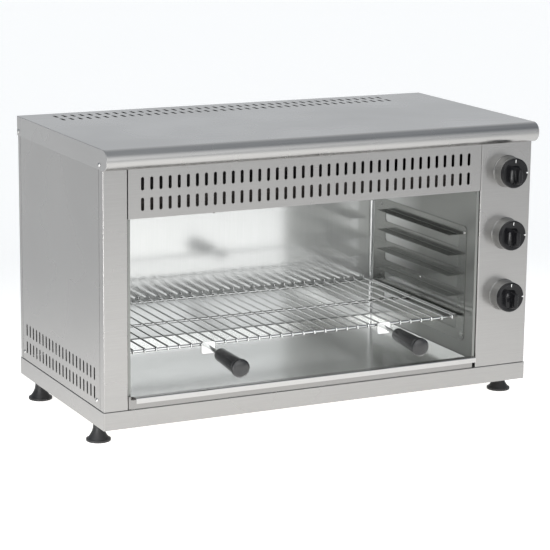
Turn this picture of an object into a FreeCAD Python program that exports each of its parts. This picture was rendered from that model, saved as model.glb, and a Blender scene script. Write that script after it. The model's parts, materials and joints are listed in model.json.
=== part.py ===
import FreeCAD, Part
import math
import os
from FreeCAD import Rotation, Vector

# Cheese melter: a folded stainless casing on four levelling feet, with an open cavity,
# a wire rack on punched runners, a crumb tray, tube elements under the ceiling and
# three rotary switches on the right. X runs right, Y back and Z up, in millimetres.
# The origin is on the floor, below the middle of the whole outline.

# Casing
case_width = 800.0
case_depth = 393.0
case_height = 493.3
foot_height = 33.0
base_height = 30.0
base_rim = 26.0
base_proud = 1.0
sheet = 1.0
fold = 1.0
seam = 0.8
cut_over = 2.0

# Front of the casing
post_width = 42.5
control_width = 101.0
header_height = 81.3
front_wrap = 16.5
rear_wrap = 12.5
hidden_flange = 14.0
strip_reach = 10.0
strip_lap = 2.0
panel_tuck = 20.0

# Cover
nose_radius = 17.0
nose_reach = 4.0
nose_gap = 0.3
edge_round = 0.8

# Vent slots
slot_width = 5.5
slot_length = 21.5
slot_pitch = 15.93
header_slot_count = 39
header_slot_start = 24.9
header_slot_drop = 25.1
header_slot_rise = 23.0
side_slot_count = 21
side_slot_start = 33.2
side_slot_height = 25.0
side_slot_rise = 56.3
cover_slot_count = 41
cover_slot_start = 57.0
cover_slot_inset = 34.5
cover_slot_step = 35.0

# Cavity
liner_inset = 5.3
liner_setback = 3.5
liner_corner = 5.0
liner_notch = 12.0
rear_space = 21.5
ceiling_rise = 6.0
apron_setback = 19.0
shield_rise = 20.0
shield_inset = 12.0

# Runners
runner_sheet = 1.2
runner_setback = 31.5
runner_length = 330.0
runner_lift = 40.0
runner_headroom = 75.0
runner_corner = 9.0
shelf_headroom = 17.5
shelf_lift = 81.2
shelf_pitch = 36.5
shelf_depth = 20.0
shelf_setback = 28.0
shelf_length = 257.0
window_height = 22.5
window_ends = 3.0
window_corner = 6.0
rivet_hole = 2.0
rivet_head = 3.4
rivet_dome = 1.6
rivet_tail = 1.2
rivet_setback = 7.5
rivet_back = 303.0
rivet_edge = 11.5
rivet_drop = 11.5

# Crumb tray
tray_lift = 0.3
tray_side_gap = 1.0
tray_back_gap = 4.0
tray_wall = 14.0
tray_corner = 3.0
lip_height = 20.0
lip_reach = 11.0
lip_hem = 8.5
lip_inset = 9.0

# Rack
rail_radius = 2.5
rail_bend = 9.0
wire_radius = 1.5
wire_bend = 3.0
wire_count = 30
wire_inset = 14.5
wire_tip = 6.5
weld = 0.3
rack_side_gap = 1.5
rack_setback = 44.5
rack_length = 317.0
mid_rail_share = 0.51

# Rack handles
handle_spacing = 333.4
handle_shift = -3.2
bracket_width = 24.0
bracket_height = 20.0
bracket_sheet = 2.0
bracket_corner = 4.0
rod_radius = 3.25
grip_start = 46.0
grip_bore_gap = 0.05
grip_length = 88.0
grip_droop = 3.2
grip_back_radius = 11.3
grip_front_radius = 13.8
grip_end_round = 4.5
grip_cap = 13.0
grip_cap_radius = 15.5
grip_cap_round = 4.0
grip_dome = 2.5
grip_groove = 1.3
grip_wall = 14.0

# Heating elements
element_radius = 4.25
element_drop = 11.0
element_leg_gap = 50.0
element_pitch_share = 0.285
element_end_gap = 30.0
element_tail = 22.0
element_hole_gap = 0.4
element_bore_gap = 0.06
bush_radius = 8.0
bush_length = 5.0
hanger_sheet = 1.5
hanger_height = 17.5
hanger_shares = (0.26, 0.72)
hanger_end = 9.0

# Controls
knob_drop = 50.3
knob_pitch = 109.5
knob_inset = 49.0
bezel_radius = 28.0
bezel_top_radius = 26.4
bezel_depth = 20.5
bezel_wall = 2.2
bezel_round = 1.4
knob_gap = 0.6
knob_radius = 26.0
knob_face_radius = 23.6
knob_depth = 7.0
knob_dome = 1.6
knob_hub_radius = 9.0
knob_hub_gap = 1.5
bar_height = 17.0
bar_foot_width = 22.0
bar_ridge_width = 8.0
bar_waist_share = 0.3
bar_above = 13.5
bar_below = 20.5
bar_slope = 4.5
bar_round = 1.5
shaft_radius = 3.0
shaft_gap = 0.05
shaft_into_knob = 16.0
shaft_into_switch = 14.0
switch_size = 44.0
switch_depth = 36.0
switch_round = 3.0
switch_bush_radius = 5.0
switch_hole_gap = 0.3
switch_nut_size = 14.0
switch_nut_height = 3.0
thread_gap = 0.06

# Feet
foot_inset = 13.5
foot_setback = 59.5
foot_radius = 20.6
foot_disc = 5.0
foot_disc_round = 2.0
foot_waist = 11.0
foot_neck = 7.5
foot_neck_height = 6.0
stud_radius = 4.0
stud_rise = 19.0
stud_depth = 16.0
stud_hole_gap = 0.5
foot_nut_size = 13.0
foot_nut_height = 7.0

# Screws
screw_radius = 1.9
screw_gap = 0.15
screw_head = 3.8
screw_dome = 2.2
screw_length = 7.0
screw_cross = 0.8
screw_cross_length = 4.0
screw_cross_depth = 1.1
cover_screw_drop = 25.8
cover_screw_setback = 11.8
cover_screw_back = 6.3
side_screw_height = 14.2
side_screw_setback = 31.7
side_screw_back = 20.0
tab_width = 8.0
tab_height = 22.0
back_screw_inset = 60.0

# Mains inlet
gland_inset = 62.0
gland_height = 34.0
gland_bore = 5.0
gland_body_radius = 10.0
gland_hole_gap = 0.3
gland_collar_radius = 14.0
gland_collar = 5.0
gland_tail = 12.0
gland_nose = 9.0
gland_dome_radius = 12.5
gland_reach = 22.0
gland_nut_size = 26.0
gland_nut_height = 4.0
terminal_length = 60.0
terminal_width = 22.0
terminal_height = 20.0
terminal_setback = 290.0
terminal_inset = 80.0
terminal_ways = 5
terminal_hole = 2.0
terminal_hole_depth = 8.0
terminal_round = 1.5

# Levels worked out from the sizes above
half = case_width / 2
base_bottom = foot_height
base_top = base_bottom + base_height
cover_bottom = case_height - 2 * nose_radius
panel_bottom = base_top + seam
panel_top = cover_bottom + panel_tuck
opening_top = cover_bottom - header_height
floor_top = base_top + sheet
ceiling_bottom = opening_top + ceiling_rise
ceiling_top = ceiling_bottom + sheet

# Front to back, with the origin in the middle of the whole depth
droop = math.radians(grip_droop)
rack_reach = rack_setback - rail_radius - 2 * wire_radius - bracket_sheet - grip_start
grip_ahead = grip_length * math.cos(droop) + grip_cap_radius * math.sin(droop) - rack_reach
front_y = grip_ahead - (grip_ahead + case_depth + sheet + gland_reach) / 2
back_y = front_y + case_depth

# Left to right
post_right = post_width - half
control_left = half - control_width
header_left = post_right + seam
header_right = control_left - seam
liner_left = post_right + liner_inset
liner_right = control_left - liner_inset
liner_front = front_y + liner_setback
liner_back = back_y - rear_space
cavity_middle = (liner_left + liner_right) / 2
cavity_width = liner_right - liner_left

# Places shared by several pieces
runner_front = front_y + runner_setback
runner_bottom = floor_top + runner_lift
runner_top = ceiling_bottom - runner_headroom
shelf_top = floor_top + shelf_lift
shelf_levels = [shelf_top]
while shelf_levels[-1] + shelf_pitch < runner_top - shelf_headroom:
    shelf_levels.append(shelf_levels[-1] + shelf_pitch)
rack_front = front_y + rack_setback
rack_back = rack_front + rack_length
rack_left = liner_left + runner_sheet + rack_side_gap + rail_radius
rack_right = liner_right - runner_sheet - rack_side_gap - rail_radius
rail_level = shelf_top + rail_radius
wire_level = rail_level + rail_radius + wire_radius - weld
element_level = ceiling_bottom - element_drop
knob_x = half - knob_inset
knob_levels = {
    "upper": cover_bottom - knob_drop,
    "middle": cover_bottom - knob_drop - knob_pitch,
    "lower": cover_bottom - knob_drop - 2 * knob_pitch,
}
foot_x = half - foot_inset
foot_front_y = front_y + foot_setback
foot_back_y = back_y - foot_setback
gland_x = half - gland_inset
gland_z = base_top + gland_height
side_screw_places = (front_y + side_screw_setback, back_y - side_screw_back)
side_screw_z = base_top + side_screw_height
cover_screw_places = (front_y + cover_screw_setback, back_y - cover_screw_back)
cover_screw_z = case_height - cover_screw_drop
back_screw_places = (back_screw_inset - half, cavity_middle, half - 2 * back_screw_inset)


# Planes: each turns two coordinates and a level into a point

def on_x(u, v, level):
    return Vector(level, u, v)


def on_y(u, v, level):
    return Vector(u, level, v)


def on_z(u, v, level):
    return Vector(u, v, level)


# Shapes used again and again

def box(x0, x1, y0, y1, z0, z1):
    """Block between three pairs of coordinates."""
    return Part.makeBox(x1 - x0, y1 - y0, z1 - z0, Vector(x0, y0, z0))


def rod(radius, start, end):
    """Round bar between two points."""
    return Part.makeCylinder(radius, (end - start).Length, start, end - start)


def along(shape, direction):
    """The shape's edges that run along a direction."""
    found = []
    for edge in shape.Edges:
        if not isinstance(edge.Curve, Part.Line):
            continue
        if edge.tangentAt(edge.FirstParameter).cross(direction).Length < sheet * 1e-6:
            found.append(edge)
    return found


def rounded_box(x0, x1, y0, y1, z0, z1, radius, direction):
    """Block whose four edges along one direction are rounded."""
    block = box(x0, x1, y0, y1, z0, z1)
    return block.makeFillet(radius, along(block, direction))


def folded(plane, points, thickness, start, end, side):
    """Sheet folded along a path of corners in one plane and carried from start to end across it.
    The material lies on the left of the path for side 1 and on the right for side -1."""
    corners = [Vector(u, v, 0) for u, v in points]
    headings = [(b - a).normalize() for a, b in zip(corners, corners[1:])]
    normals = [Vector(-h.y, h.x, 0) * side for h in headings]
    near = [[corners[0]], ]
    far = [[corners[0] + normals[0] * thickness], ]
    for i in range(1, len(corners) - 1):
        before, after = headings[i - 1], headings[i]
        turn = before.x * after.y - before.y * after.x
        inward = turn * side > 0
        radius = fold + thickness if inward else fold
        offset_radius = fold if inward else fold + thickness
        angle = math.atan2(abs(turn), before.dot(after))
        setback = radius * math.tan(angle / 2)
        first = corners[i] - before * setback
        last = corners[i] + after * setback
        towards = normals[i - 1] if inward else normals[i - 1] * -1
        centre = first + towards * radius
        middle = (corners[i] - centre).normalize()
        near.append([first, centre + middle * radius, last])
        spokes = [(first - centre).normalize(), middle, (last - centre).normalize()]
        far.append([centre + spoke * offset_radius for spoke in spokes])
    near.append([corners[-1]])
    far.append([corners[-1] + normals[-1] * thickness])
    back = [stop[::-1] for stop in far[::-1]]
    stops = near + back
    edges = []
    for here, following in zip(stops, stops[1:] + stops[:1]):
        here_points = [plane(p.x, p.y, start) for p in here]
        next_point = plane(following[0].x, following[0].y, start)
        if len(here_points) > 1:
            edges.append(Part.Arc(*here_points).toShape())
        edges.append(Part.LineSegment(here_points[-1], next_point).toShape())
    face = Part.Face(Part.Wire(edges))
    return face.extrude(plane(0, 0, end) - plane(0, 0, start))


def slot(plane, u, v, width, length, start, end):
    """Solid that fills a slot with round ends, its length along the plane's second direction."""
    half_width = width / 2
    reach = length / 2 - half_width
    left_low = plane(u - half_width, v - reach, start)
    left_high = plane(u - half_width, v + reach, start)
    right_low = plane(u + half_width, v - reach, start)
    right_high = plane(u + half_width, v + reach, start)
    outline = [
        Part.LineSegment(left_low, left_high).toShape(),
        Part.Arc(left_high, plane(u, v + reach + half_width, start), right_high).toShape(),
        Part.LineSegment(right_high, right_low).toShape(),
        Part.Arc(right_low, plane(u, v - reach - half_width, start), left_low).toShape(),
    ]
    return Part.Face(Part.Wire(outline)).extrude(plane(0, 0, end) - plane(0, 0, start))


def slot_grid(plane, first, count, rows, start, end):
    """Vent slots side by side at the steady pitch, in rows at the given second coordinates."""
    places = [first + slot_pitch * i for i in range(count)]
    return [slot(plane, u, v, slot_width, slot_length, start, end) for v in rows for u in places]


def turned(stops, base, direction):
    """Solid of revolution. A stop is (radius, height), or for an arc its middle and end together."""
    points = [Vector(stop[-2], 0, stop[-1]) for stop in stops]
    edges = []
    for i, stop in enumerate(stops):
        if i == 0:
            continue
        if len(stop) > 2:
            middle = Vector(stop[0], 0, stop[1])
            edges.append(Part.Arc(points[i - 1], middle, points[i]).toShape())
        else:
            edges.append(Part.LineSegment(points[i - 1], points[i]).toShape())
    edges.append(Part.LineSegment(points[-1], points[0]).toShape())
    face = Part.Face(Part.Wire(edges))
    solid = face.revolve(Vector(0, 0, 0), Vector(0, 0, 1), 360)
    return placed(solid, base, direction)


def dome(radius, height, level):
    """Stop that closes a turned outline with a ball's cap standing on a circle at the level."""
    ball = (radius ** 2 + height ** 2) / (2 * height)
    half_angle = math.asin(radius / ball) / 2
    top = level + height
    return (ball * math.sin(half_angle), top - ball * (1 - math.cos(half_angle)), 0, top)


def round_corner(radius, level, size, rise):
    """Stops of a quarter round that starts or ends on a cylinder of this radius.
    The rise is 1 where the cylinder lies above the flat end and -1 where it lies below."""
    share = 1 - math.cos(math.radians(45))
    on_flat = (radius - size, level)
    on_wall = (radius, level + rise * size)
    middle = (radius - size * share, level + rise * size * share)
    return [on_flat, middle + on_wall] if rise > 0 else [on_wall, middle + on_flat]


def placed(solid, base, direction):
    """The solid with its own Z turned to the direction and its origin moved to the base."""
    solid.Placement = FreeCAD.Placement(base, Rotation(Vector(0, 0, 1), direction))
    return solid


def pipe(points, bend_radius, radius):
    """Round bar along straight runs joined by tangent arcs."""
    edges = []
    at = points[0]
    for here, following in zip(points[1:], points[2:]):
        before = (here - at).normalize()
        after = (following - here).normalize()
        angle = before.getAngle(after)
        setback = bend_radius * math.tan(angle / 2)
        first = here - before * setback
        last = here + after * setback
        inward = (after - before).normalize()
        centre = here + inward * (bend_radius / math.cos(angle / 2))
        edges.append(Part.LineSegment(at, first).toShape())
        edges.append(Part.Arc(first, centre - inward * bend_radius, last).toShape())
        at = last
    edges.append(Part.LineSegment(at, points[-1]).toShape())
    heading = (points[1] - points[0]).normalize()
    circle = Part.Wire(Part.Circle(points[0], heading, radius).toShape())
    return Part.Wire(edges).makePipeShell([circle], True, False)


def hex_nut(size, height, bore, base, direction):
    """Six-sided nut with a plain bore, its size across the flats."""
    corner = size / math.sqrt(3)
    points = [Vector(0, 0, 0)] * 7
    for i in range(7):
        angle = math.radians(60 * i)
        points[i] = Vector(corner * math.cos(angle), corner * math.sin(angle), 0)
    blank = Part.Face(Part.makePolygon(points)).extrude(Vector(0, 0, height))
    hole = Part.makeCylinder(bore, height + 2 * cut_over, Vector(0, 0, -cut_over))
    return placed(blank.cut(hole), base, direction)


def screw(seat, outward):
    """Pan-head screw with a cross recess, its head standing out from the seat."""
    body = turned(
        [
            (0, -screw_length),
            (screw_radius, -screw_length),
            (screw_radius, 0),
            (screw_head, 0),
            dome(screw_head, screw_dome, 0),
        ],
        Vector(0, 0, 0),
        Vector(0, 0, 1),
    )
    arm = screw_cross_length / 2
    half_cross = screw_cross / 2
    floor_level = screw_dome - screw_cross_depth
    roof = screw_dome + cut_over
    recess = [
        box(-arm, arm, -half_cross, half_cross, floor_level, roof),
        box(-half_cross, half_cross, -arm, arm, floor_level, roof),
    ]
    return placed(body.cut(recess), seat, outward)


def hole(plane, u, v, radius, level, reach):
    """Round cutter through a sheet near the level."""
    start = plane(u, v, level - reach)
    return rod(radius, start, plane(u, v, level + reach))


def mirrored(shape):
    """The shape on the cavity's other side."""
    return shape.mirror(Vector(cavity_middle, 0, 0), Vector(1, 0, 0))


# Casing

def base_tray():
    """Folded pan with a rim turned in at the top and small tabs that stand up behind the panels."""
    outer_x = half + base_proud
    outer_front = front_y - base_proud
    outer_back = back_y + base_proud
    body = rounded_box(
        -outer_x, outer_x, outer_front, outer_back, base_bottom, base_top, fold + sheet, Vector(0, 0, 1)
    )
    body = body.makeFillet(fold, [e for e in body.Edges if e.BoundBox.ZMin > base_top - seam])
    inside = box(
        sheet - outer_x, outer_x - sheet, outer_front + sheet, outer_back - sheet,
        base_bottom + sheet, base_top - sheet,
    )
    mouth = box(
        base_rim - outer_x, outer_x - base_rim, outer_front + base_rim, outer_back - base_rim,
        base_bottom + sheet, base_top + cut_over,
    )
    cutters = [inside, mouth]
    for x, y in foot_places().values():
        cutters.append(hole(on_z, x, y, stud_radius + stud_hole_gap, base_bottom, 2 * sheet))
    body = body.cut(cutters)
    tabs = []
    tab_top = base_top + tab_height
    tab_root = base_top - sheet
    for outward in (-1, 1):
        outer = outward * (half - sheet)
        inner = outward * (half - 2 * sheet)
        for y in side_screw_places:
            tab_front = y - tab_width / 2
            tabs.append(
                box(min(inner, outer), max(inner, outer), tab_front, tab_front + tab_width, tab_root, tab_top)
            )
    tab_back = back_y - sheet
    for x in back_screw_places:
        tabs.append(box(x - tab_width / 2, x + tab_width / 2, tab_back - sheet, tab_back, tab_root, tab_top))
    body = body.fuse(tabs)
    return body.cut(side_screw_holes() + back_screw_holes())


def side_screw_holes():
    """Clearance holes through both side panels and the tabs behind them."""
    radius = screw_radius + screw_gap
    return [
        hole(on_x, y, side_screw_z, radius, outward * half, 4 * sheet)
        for outward in (-1, 1)
        for y in side_screw_places
    ]


def back_screw_holes():
    """Clearance holes low in the back panel and the tabs behind it."""
    radius = screw_radius + screw_gap
    return [hole(on_y, x, side_screw_z, radius, back_y, 4 * sheet) for x in back_screw_places]


def cover_screw_holes():
    """Clearance holes through the cover's sides and back and what lies behind them."""
    radius = screw_radius + screw_gap
    holes = [
        hole(on_x, y, cover_screw_z, radius, outward * half, 4 * sheet)
        for outward in (-1, 1)
        for y in cover_screw_places
    ]
    return holes + [hole(on_y, x, cover_screw_z, radius, back_y, 4 * sheet) for x in back_screw_places]


def front_post():
    """Corner sheet left of the opening: it wraps the side and turns back at the opening."""
    path = [
        (-half, front_y + front_wrap),
        (-half, front_y),
        (post_right, front_y),
        (post_right, front_y + hidden_flange),
    ]
    body = folded(on_z, path, sheet, panel_bottom, panel_top, 1)
    return body.cut(cover_screw_holes())


def control_panel():
    """Front sheet right of the opening, with a hole for each switch."""
    path = [
        (control_left, front_y + hidden_flange),
        (control_left, front_y),
        (half, front_y),
        (half, front_y + front_wrap),
    ]
    body = folded(on_z, path, sheet, panel_bottom, panel_top, 1)
    radius = switch_bush_radius + switch_hole_gap
    cutters = [hole(on_y, knob_x, z, radius, front_y, 2 * sheet) for z in knob_levels.values()]
    return body.cut(cutters + cover_screw_holes())


def front_header():
    """Slotted sheet above the opening, turned back on all four edges."""
    body = rounded_box(
        header_left, header_right, front_y, front_y + hidden_flange, opening_top, panel_top,
        fold, Vector(0, 1, 0),
    )
    inside = box(
        header_left + sheet, header_right - sheet, front_y + sheet, back_y,
        opening_top + sheet, panel_top - sheet,
    )
    upper_row = cover_bottom - header_slot_drop
    lower_row = opening_top + header_slot_rise
    slots = slot_grid(
        on_y, header_left + header_slot_start, header_slot_count, (lower_row, upper_row),
        front_y - cut_over, front_y + cut_over,
    )
    return body.cut([inside] + slots)


def side_panel(outward):
    """Slotted side sheet with set-in strips that reach behind the sheets before and behind it."""
    outer = outward * half
    inner = outward * (half - sheet)
    deep = outward * (half - 2 * sheet)
    panel_front = front_y + front_wrap + seam
    panel_back = back_y - rear_wrap - seam
    body = box(min(inner, outer), max(inner, outer), panel_front, panel_back, panel_bottom, panel_top)
    strips = []
    for start, end in (
        (panel_front - strip_reach, panel_front + strip_lap),
        (panel_back - strip_lap, panel_back + strip_reach),
    ):
        strips.append(box(min(deep, inner), max(deep, inner), start, end, panel_bottom, panel_top))
    body = body.fuse(strips)
    lower_row = base_top + side_slot_height
    slots = slot_grid(
        on_x, back_y - side_slot_start - (side_slot_count - 1) * slot_pitch, side_slot_count,
        (lower_row, base_top + side_slot_rise), min(deep, outer) - cut_over, max(deep, outer) + cut_over,
    )
    return body.cut(slots + side_screw_holes() + cover_screw_holes())


def back_panel():
    """Rear sheet that wraps both sides, with vent slots low down and the hole for the mains inlet."""
    path = [
        (half, back_y - rear_wrap),
        (half, back_y),
        (-half, back_y),
        (-half, back_y - rear_wrap),
    ]
    body = folded(on_z, path, sheet, panel_bottom, panel_top, 1)
    row_start = cavity_middle - (side_slot_count - 1) * slot_pitch / 2
    slots = slot_grid(
        on_y, row_start, side_slot_count, (base_top + side_slot_height, base_top + side_slot_rise),
        back_y - cut_over, back_y + cut_over,
    )
    inlet = hole(on_y, gland_x, gland_z, gland_body_radius + gland_hole_gap, back_y, 2 * sheet)
    return body.cut(slots + [inlet] + back_screw_holes() + cover_screw_holes())


def cover_section(inset, level):
    """Closed outline of the cover seen from the side, set in by a wall: flat top and half-round nose."""
    nose_y = front_y - nose_reach
    nose_z = case_height - nose_radius
    radius = nose_radius - inset
    tail_y = front_y - nose_gap
    rear_y = back_y + sheet - inset
    low = cover_bottom + inset
    bottom = cover_bottom - inset * cut_over
    corners = [
        on_x(tail_y, low, level),
        on_x(nose_y, low, level),
        on_x(nose_y, nose_z + radius, level),
        on_x(rear_y, nose_z + radius, level),
        on_x(rear_y, bottom, level),
        on_x(tail_y, bottom, level),
    ]
    edges = [
        Part.LineSegment(corners[0], corners[1]).toShape(),
        Part.Arc(corners[1], on_x(nose_y - radius, nose_z, level), corners[2]).toShape(),
        Part.LineSegment(corners[2], corners[3]).toShape(),
        Part.LineSegment(corners[3], corners[4]).toShape(),
        Part.LineSegment(corners[4], corners[5]).toShape(),
    ]
    if inset:
        edges.append(Part.LineSegment(corners[5], corners[0]).toShape())
    return Part.Face(Part.Wire(edges))


def top_cover():
    """Lid with turned-down sides and back, closed nose ends and two rows of slots in its top."""
    outer_x = half + sheet
    solid = cover_section(0, -outer_x).extrude(Vector(2 * outer_x, 0, 0))
    rims = [
        e for e in solid.Edges
        if abs(abs(e.CenterOfMass.x) - outer_x) < seam and e.CenterOfMass.z > cover_bottom + seam
    ]
    solid = solid.makeFillet(edge_round, rims)
    hollow = cover_section(sheet, -half).extrude(Vector(2 * half, 0, 0))
    rows = (back_y - cover_slot_inset, back_y - cover_slot_inset - cover_slot_step)
    slots = slot_grid(
        on_z, cover_slot_start - half, cover_slot_count, rows, case_height - cut_over, case_height + cut_over
    )
    return solid.cut([hollow] + slots + cover_screw_holes())


# Cavity

def element_leg_places():
    """Y of the six straight legs, front to back."""
    middle = (liner_front + liner_back) / 2
    pitch = (liner_back - liner_front) * element_pitch_share
    centres = [middle + pitch * step for step in (-1, 0, 1)]
    return [y + side * element_leg_gap / 2 for y in centres for side in (-1, 1)]


def runner_rivet_places():
    """(Y, Z) of the five rivets of a runner: four near the corners and one between two windows."""
    near = runner_front + rivet_setback
    rear = runner_front + rivet_back
    low = runner_bottom + rivet_edge
    high = runner_top - rivet_drop
    strip = shelf_pitch - window_height - runner_sheet
    between = shelf_top + shelf_pitch + strip / 2
    return [(near, low), (near, high), (rear, low), (rear, high), ((near + rear) / 2, between)]


def cavity_liner():
    """One sheet bent round both sides and the back, with flanges beside the opening."""
    left_flange = post_right + seam / 2
    right_flange = control_left - seam / 2
    top = ceiling_bottom
    walls = rounded_box(
        liner_left - sheet, liner_right + sheet, liner_front, liner_back + sheet, floor_top, top,
        liner_corner + sheet, Vector(0, 0, 1),
    )
    front_block = box(
        liner_left - sheet, liner_right + sheet, liner_front, liner_front + 2 * liner_corner, floor_top, top
    )
    space = rounded_box(
        liner_left, liner_right, liner_front - liner_back, liner_back, floor_top - cut_over, top + cut_over,
        liner_corner, Vector(0, 0, 1),
    )
    flange_back = liner_front + sheet
    flange_foot = floor_top + liner_notch
    flanges = [
        box(left_flange, liner_left, liner_front, flange_back, flange_foot, opening_top),
        box(liner_right, right_flange, liner_front, flange_back, flange_foot, opening_top),
    ]
    body = walls.fuse([front_block] + flanges).cut(space).removeSplitter()
    leg_hole = element_radius + element_hole_gap
    header_notch = box(
        left_flange, right_flange, liner_front - cut_over, front_y + apron_setback,
        opening_top, top + cut_over,
    )
    cutters = [header_notch]
    cutters += [hole(on_x, y, element_level, leg_hole, liner_right, 2 * sheet) for y in element_leg_places()]
    for y, z in runner_rivet_places():
        cutters.append(hole(on_x, y, z, rivet_hole + screw_gap, liner_right, 2 * sheet))
        cutters.append(hole(on_x, y, z, rivet_hole + screw_gap, liner_left, 2 * sheet))
    return body.cut(cutters)


def cavity_floor():
    """Flat sheet that the crumb tray slides on."""
    return box(liner_left - sheet, liner_right + sheet, liner_front, liner_back + sheet, base_top, floor_top)


def cavity_ceiling():
    """Reflector sheet over the elements, turned down behind the header's lower edge."""
    front = front_y + apron_setback
    plate = box(
        liner_left - sheet, liner_right + sheet, front, liner_back + sheet, ceiling_bottom, ceiling_top
    )
    apron = box(
        liner_left + seam, liner_right - seam, front, front + sheet, opening_top + sheet, ceiling_top
    )
    return plate.fuse(apron).removeSplitter()


def heat_shield():
    """Shallow upturned pan over the ceiling that keeps the heat off the cover."""
    top = ceiling_top + shield_rise
    body = rounded_box(
        liner_left, liner_right, front_y + apron_setback + shield_inset, liner_back, ceiling_top, top,
        fold + sheet, Vector(0, 0, 1),
    )
    inside = box(
        liner_left + sheet, liner_right - sheet, front_y + apron_setback + shield_inset + sheet,
        liner_back - sheet, ceiling_top - cut_over, top - sheet,
    )
    return body.cut(inside)


def left_runner():
    """Punched plate with shelves bent in from the top edge of each window."""
    face_x = liner_left + runner_sheet
    plate = rounded_box(
        liner_left, face_x, runner_front, runner_front + runner_length,
        runner_bottom, runner_top, runner_corner, Vector(1, 0, 0),
    )
    shelf_front = runner_front + shelf_setback
    shelf_back = shelf_front + shelf_length
    windows = []
    shelves = []
    for level in shelf_levels:
        window_bottom = level - runner_sheet - window_height
        window = rounded_box(
            liner_left - cut_over, face_x + cut_over, shelf_front - window_ends, shelf_back + window_ends,
            window_bottom, level, window_corner, Vector(1, 0, 0),
        )
        windows.append(window)
        windows.append(
            box(liner_left - cut_over, face_x + cut_over, shelf_front, shelf_back,
                level - window_corner, level + fold)
        )
        path = [(face_x, level + fold + runner_sheet), (face_x, level), (face_x + shelf_depth, level)]
        shelves.append(folded(on_y, path, runner_sheet, shelf_front, shelf_back, -1))
    body = plate.cut(windows).fuse(shelves)
    radius = rivet_hole + screw_gap
    return body.cut([hole(on_x, y, z, radius, liner_left, 2 * sheet) for y, z in runner_rivet_places()])


def runner_rivets():
    """Domed rivets that hold both runners to the liner."""
    left = []
    for y, z in runner_rivet_places():
        seat = Vector(liner_left + runner_sheet, y, z)
        shank = runner_sheet + sheet
        left.append(
            turned(
                [
                    (0, -shank - rivet_tail),
                    (rivet_hole + rivet_tail, -shank - rivet_tail),
                    (rivet_hole + rivet_tail, -shank),
                    (rivet_hole, -shank),
                    (rivet_hole, 0),
                    (rivet_head, 0),
                    dome(rivet_head, rivet_dome, 0),
                ],
                seat,
                Vector(1, 0, 0),
            )
        )
    return Part.makeCompound(left + [mirrored(rivet) for rivet in left])


def crumb_tray():
    """Shallow pan with a wider front whose top is folded forward and down into a lip, set in a
    little at its left end."""
    left = liner_left + tray_side_gap
    right = liner_right - tray_side_gap
    back = liner_back - tray_back_gap
    bottom = floor_top + tray_lift
    top = bottom + tray_wall
    pan = rounded_box(left, right, front_y, back, bottom, top, tray_corner, Vector(0, 0, 1))
    pan = pan.makeFillet(fold, [e for e in pan.Edges if e.BoundBox.ZMax < bottom + fold / 2])
    inside = rounded_box(
        left + sheet, right - sheet, front_y + sheet, back - sheet, bottom + sheet, top + cut_over,
        tray_corner - sheet, Vector(0, 0, 1),
    )
    lip_top = bottom + lip_height
    path = [
        (front_y, bottom),
        (front_y, lip_top),
        (front_y - lip_reach, lip_top),
        (front_y - lip_reach, lip_top - lip_hem),
    ]
    lip = folded(on_x, path, sheet, post_right + seam / 2, right, -1)
    lip = lip.cut(box(
        post_right, post_right + lip_inset, front_y - lip_reach - cut_over, front_y,
        bottom - cut_over, lip_top + cut_over,
    ))
    front_block = box(left, right, front_y, front_y + tray_corner, bottom, top)
    inner_block = box(
        left + sheet, right - sheet, front_y + sheet, front_y + 2 * tray_corner,
        bottom + sheet, top + cut_over,
    )
    pan = pan.fuse(front_block).cut([inside, inner_block])
    return pan.fuse(lip).removeSplitter()


# Rack

def rack_frame():
    """Round-cornered loop of thick wire with a cross rail between its sides."""
    middle_y = (rack_front + rack_back) / 2
    front_loop = pipe(
        [
            Vector(rack_left, middle_y, rail_level),
            Vector(rack_left, rack_front, rail_level),
            Vector(rack_right, rack_front, rail_level),
            Vector(rack_right, middle_y, rail_level),
        ],
        rail_bend,
        rail_radius,
    )
    rear_loop = pipe(
        [
            Vector(rack_left, middle_y, rail_level),
            Vector(rack_left, rack_back, rail_level),
            Vector(rack_right, rack_back, rail_level),
            Vector(rack_right, middle_y, rail_level),
        ],
        rail_bend,
        rail_radius,
    )
    rail_y = rack_front + rack_length * mid_rail_share
    left_end = Vector(rack_left, rail_y, rail_level)
    cross_rail = rod(rail_radius, left_end, Vector(rack_right, rail_y, rail_level))
    return front_loop.fuse([rear_loop, cross_rail]).removeSplitter()


def rack_wires():
    """Thin wires from front to back over the rails, turned down in front and up behind."""
    first = rack_left + wire_inset
    pitch = (rack_right - wire_inset - first) / (wire_count - 1)
    start = rack_front - rail_radius - wire_radius - weld
    end = rack_back + rail_radius + wire_radius
    wires = []
    for i in range(wire_count):
        x = first + pitch * i
        points = [
            Vector(x, start, wire_level - wire_tip),
            Vector(x, start, wire_level),
            Vector(x, end, wire_level),
            Vector(x, end, wire_level + wire_tip),
        ]
        wires.append(pipe(points, wire_bend, wire_radius))
    return Part.makeCompound(wires)


def handle_x(side):
    """Middle of the left (-1) or right (1) rack handle."""
    return cavity_middle + handle_shift + side * handle_spacing / 2


def handle_root(x):
    """Point on the bracket's front face where the handle's rod starts."""
    front = rack_front - rail_radius - 2 * wire_radius - weld - bracket_sheet
    return Vector(x, front, rail_level - rail_radius)


def handle_heading():
    """Direction of a handle, forward and a little down."""
    return Vector(0, -math.cos(droop), -math.sin(droop))


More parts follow.
